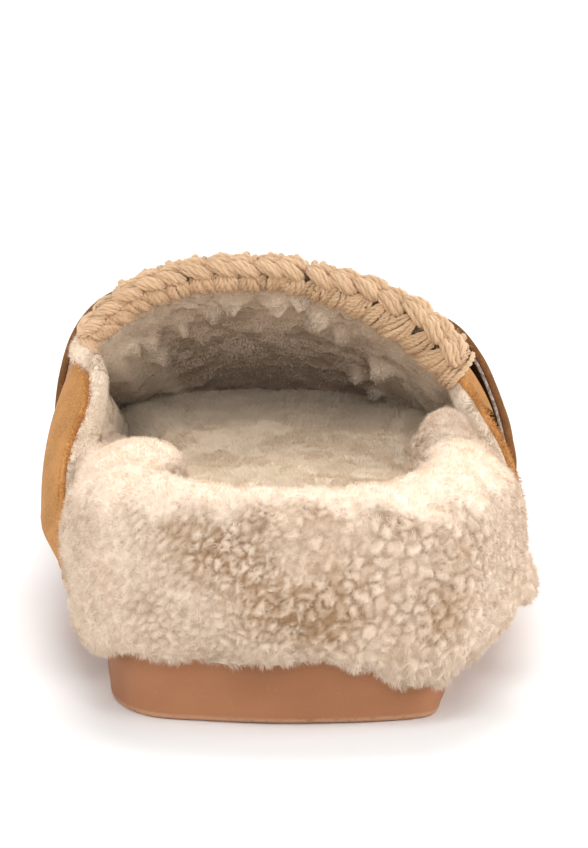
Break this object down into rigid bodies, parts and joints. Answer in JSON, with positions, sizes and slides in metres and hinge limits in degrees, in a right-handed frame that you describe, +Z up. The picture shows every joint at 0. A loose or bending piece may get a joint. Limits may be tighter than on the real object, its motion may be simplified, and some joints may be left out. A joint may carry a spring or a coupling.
{
  "type": "shearling slide slipper",
  "caption": "Backless closed-toe slide slipper: suede upper with a crochet collar and an instep strap, deep shearling rim round the heel, block sole.",
  "frame": {"origin": "on the floor, under the middle of the slipper's bounding box", "axes": "+Y towards the toe, +X towards the lateral side of the right foot, +Z up"},
  "size_m": [0.1052, 0.27, 0.0788],
  "materials": {
    "outsole": "matte, fine-grained foam rubber",
    "insole": "short pressed shearling",
    "fleece_wrap": "deep curly shearling",
    "upper": "napped suede with raw edges",
    "collar_trim": "crocheted wool yarn",
    "strap": "napped suede"
  },
  "bodies": {
    "root": {"outsole": "outsole", "insole": "insole", "fleece_wrap": "fleece_wrap", "upper": "upper", "collar_trim": "collar_trim", "strap": "strap"}
  },
  "joints": []
}
